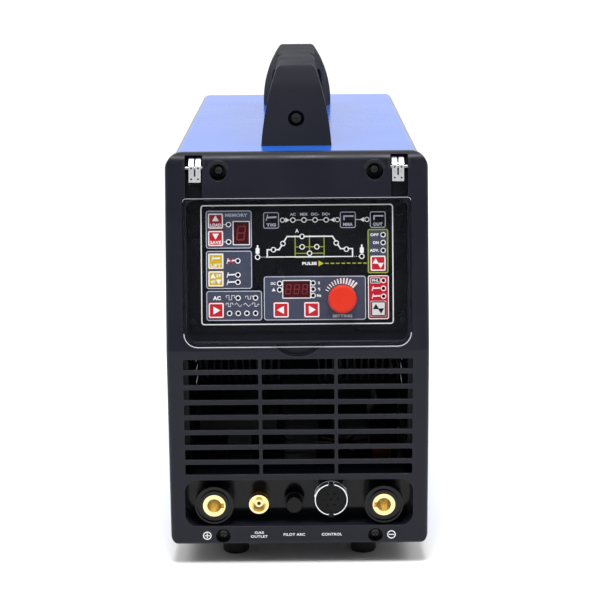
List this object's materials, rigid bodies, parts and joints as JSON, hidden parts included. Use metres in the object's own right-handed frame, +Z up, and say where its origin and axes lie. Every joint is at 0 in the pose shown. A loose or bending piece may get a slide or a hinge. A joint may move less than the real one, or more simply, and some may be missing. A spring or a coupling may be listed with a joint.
{
  "type": "tig welding machine",
  "caption": "Portable inverter TIG welder: blue steel case, dark plastic front with a clear flap over the controls, air slots, weld and gas sockets, top handle and feet.",
  "frame": {"origin": "on the floor, under the middle of the machine's overall box", "axes": "+Z up; the front with the controls faces -Y; +X is the machine's right seen from the front"},
  "size_m": [0.24, 0.596, 0.452],
  "materials": {
    "front_plastic": "fine satin grain",
    "blue_paint": "gloss powder coat",
    "grey_paint": "satin powder coat",
    "rear_paint": "satin powder coat",
    "plated_steel": "zinc plated",
    "board_black": "insulating board",
    "foot_rubber": "matt",
    "screw_zinc": "zinc plated",
    "screw_black": "black oxide",
    "handle_plastic": "fine grain",
    "clear_plastic": "clear",
    "bright_chrome": "polished",
    "pin_steel": "ground",
    "pin_gilt": "gilt",
    "panel_print": "printed film",
    "lamp_plastic": "moulded",
    "circuit_board": "lacquered",
    "knob_red": "satin",
    "socket_black": "moulded",
    "socket_brass": "turned",
    "nut_black": "moulded",
    "fan_black": "moulded",
    "switch_black": "moulded",
    "rocker_red": "moulded",
    "gland_black": "nylon",
    "valve_metal": "plated",
    "hose_rubber": "smooth",
    "ferrite": "ground",
    "winding_tape": "varnished tape",
    "winding_copper": "lacquered copper",
    "potting_black": "moulded",
    "black_aluminium": "extruded and black anodised",
    "component_black": "sleeved",
    "display_black": "smoked window",
    "key_dark_red": "printed film",
    "key_red": "printed film",
    "key_yellow": "printed film",
    "key_white": "printed film"
  },
  "bodies": {
    "machine": {"access_hole_screws": "screw_zinc", "base_tray": "grey_paint", "board_components": "component_black", "busbars": "winding_copper", "cable_gland": "gland_black", "case_screws": "screw_zinc", "choke_core": "ferrite", "choke_winding": "winding_copper", "connector_plate": "board_black", "control_board": "circuit_board", "control_socket_insert": "socket_black", "control_socket_pins": "pin_gilt", "control_socket_shell": "bright_chrome", "displays": "display_black", "encoder_body": "plated_steel", "fan_frame": "fan_black", "fan_guard": "bright_chrome", "feet": "foot_rubber", "foot_screws": "screw_zinc", "front_bezel": "front_plastic", "front_frame": "plated_steel", "gas_hose": "hose_rubber", "gas_inlet": "socket_brass", "gas_outlet": "socket_brass", "gas_valve": "valve_metal", "handle": "handle_plastic", "handle_brackets": "plated_steel", "heatsinks": "black_aluminium", "hinge_pins": "pin_steel", "indicator_lamps": "lamp_plastic", "inner_supports": "board_black", "panel_plate": "panel_print", "panel_screws": "screw_black", "pilot_terminal": "socket_brass", "power_board": "circuit_board", "power_transistors": "potting_black", "rear_panel": "rear_paint", "socket_collars": "socket_black", "socket_contacts": "socket_brass", "start_unit": "potting_black", "switch_body": "switch_black", "top_cover": "blue_paint", "transformer_core": "ferrite", "transformer_windings": "winding_tape"},
    "flap": {"clear_flap": "clear_plastic", "hinge_clips": "bright_chrome"},
    "knob": {"setting_knob": "knob_red", "encoder_shaft": "pin_steel"},
    "fan": {"fan_rotor": "fan_black"},
    "rocker": {"switch_rocker": "rocker_red"},
    "thumb_nut": {"pilot_thumb_nut": "nut_black"},
    "key_memory_up_body": {"key_memory_up": "key_dark_red"},
    "key_memory_down_body": {"key_memory_down": "key_red"},
    "key_start_mode_body": {"key_start_mode": "key_yellow"},
    "key_cycle_body": {"key_cycle": "key_yellow"},
    "key_waveform_body": {"key_waveform": "key_red"},
    "key_left_body": {"key_left": "key_red"},
    "key_right_body": {"key_right": "key_red"},
    "key_pulse_body": {"key_pulse": "key_red"},
    "key_remote_body": {"key_remote": "key_white"}
  },
  "joints": [
    {"name": "flap_hinge", "type": "hinge", "parent": "machine", "child": "flap", "pos_m": [0, -0.25917, 0.36946], "axis": [-1, 0, 0], "range_deg": [0, 110]},
    {"name": "knob_turn", "type": "hinge", "parent": "machine", "child": "knob", "pos_m": [0.0413, -0.27837, 0.25032], "axis": [0, -0.9773, 0.212], "continuous": true},
    {"name": "fan_spin", "type": "hinge", "parent": "machine", "child": "fan", "pos_m": [0, 0.253, 0.2], "axis": [0, 1, 0], "continuous": true},
    {"name": "power_switch", "type": "hinge", "parent": "machine", "child": "rocker", "pos_m": [0.062, 0.268, 0.318], "axis": [0, 0, -1], "range_deg": [0, 16]},
    {"name": "thumb_nut_turn", "type": "hinge", "parent": "machine", "child": "thumb_nut", "pos_m": [-0.0045, -0.288, 0.057], "axis": [0, 1, 0], "continuous": true},
    {"name": "key_memory_up_press", "type": "slide", "parent": "machine", "child": "key_memory_up_body", "axis": [0, 0.9773, -0.212], "range_m": [0, 0.0005], "stiffness_N_per_m": 600, "springref_m": -0.0005},
    {"name": "key_memory_down_press", "type": "slide", "parent": "machine", "child": "key_memory_down_body", "axis": [0, 0.9773, -0.212], "range_m": [0, 0.0005], "stiffness_N_per_m": 600, "springref_m": -0.0005},
    {"name": "key_start_mode_press", "type": "slide", "parent": "machine", "child": "key_start_mode_body", "axis": [0, 0.9773, -0.212], "range_m": [0, 0.0005], "stiffness_N_per_m": 600, "springref_m": -0.0005},
    {"name": "key_cycle_press", "type": "slide", "parent": "machine", "child": "key_cycle_body", "axis": [0, 0.9773, -0.212], "range_m": [0, 0.0005], "stiffness_N_per_m": 600, "springref_m": -0.0005},
    {"name": "key_waveform_press", "type": "slide", "parent": "machine", "child": "key_waveform_body", "axis": [0, 0.9773, -0.212], "range_m": [0, 0.0005], "stiffness_N_per_m": 600, "springref_m": -0.0005},
    {"name": "key_left_press", "type": "slide", "parent": "machine", "child": "key_left_body", "axis": [0, 0.9773, -0.212], "range_m": [0, 0.0005], "stiffness_N_per_m": 600, "springref_m": -0.0005},
    {"name": "key_right_press", "type": "slide", "parent": "machine", "child": "key_right_body", "axis": [0, 0.9773, -0.212], "range_m": [0, 0.0005], "stiffness_N_per_m": 600, "springref_m": -0.0005},
    {"name": "key_pulse_press", "type": "slide", "parent": "machine", "child": "key_pulse_body", "axis": [0, 0.9773, -0.212], "range_m": [0, 0.0005], "stiffness_N_per_m": 600, "springref_m": -0.0005},
    {"name": "key_remote_press", "type": "slide", "parent": "machine", "child": "key_remote_body", "axis": [0, 0.9773, -0.212], "range_m": [0, 0.0005], "stiffness_N_per_m": 600, "springref_m": -0.0005}
  ]
}
